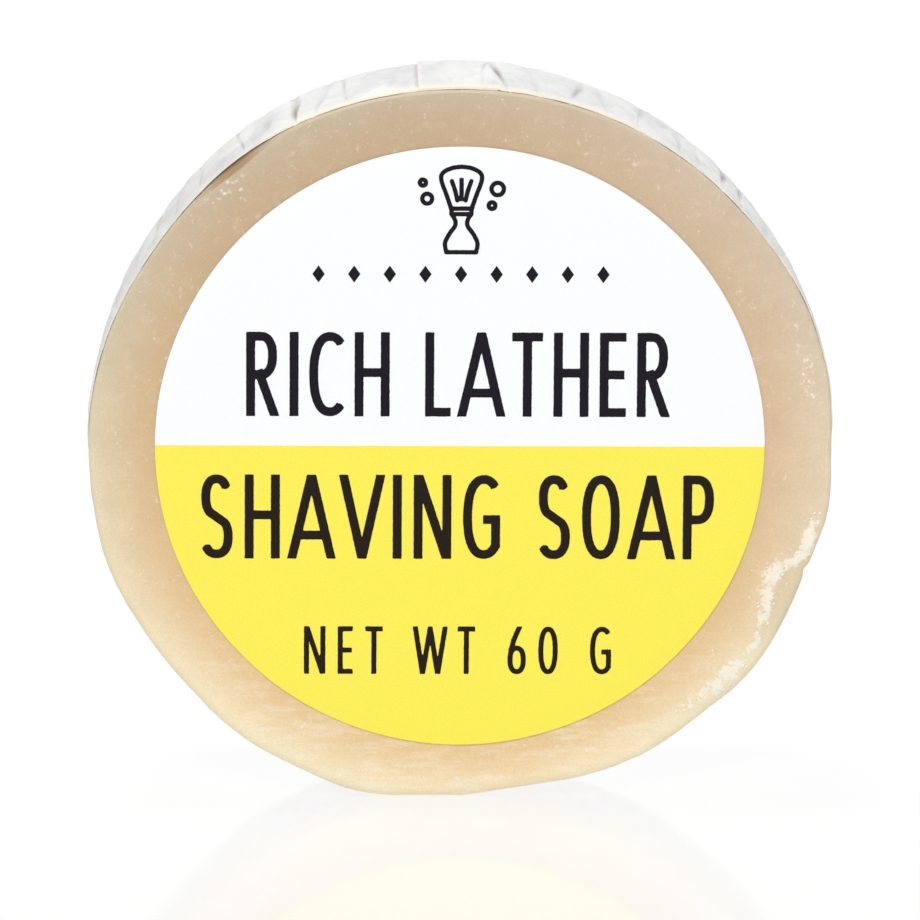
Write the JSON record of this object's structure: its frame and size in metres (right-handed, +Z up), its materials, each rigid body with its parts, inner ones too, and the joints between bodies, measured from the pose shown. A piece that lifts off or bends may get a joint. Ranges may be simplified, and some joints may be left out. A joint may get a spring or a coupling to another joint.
{
  "type": "shaving soap puck",
  "caption": "Round hard shaving soap with a two-tone paper label on its face, in a crinkled paper wrapper that pulls off its back.",
  "frame": {"origin": "on the ground, below the middle of the whole pack, with the puck standing on the flat of its rim", "axes": "+Z up, +Y along the puck's axis from its labelled face to its back, +X to the right as the face is read"},
  "size_m": [0.0606, 0.0204, 0.0593],
  "materials": {
    "soap": "satin",
    "label_paper": "satin",
    "wrapper_paper": "matte",
    "seal_paper": "satin",
    "adhesive": "gloss"
  },
  "bodies": {
    "puck": {"soap_puck": "soap", "face_label": "label_paper", "face_label_adhesive": "adhesive"},
    "wrapper": {"paper_wrapper": "wrapper_paper", "wrapper_seam_glue": "adhesive", "back_seal": "seal_paper", "back_seal_adhesive": "adhesive"}
  },
  "joints": [
    {"name": "wrapper_pull_off", "type": "slide", "parent": "puck", "child": "wrapper", "axis": [0, 1, 0], "range_m": [0, 0.025]}
  ]
}
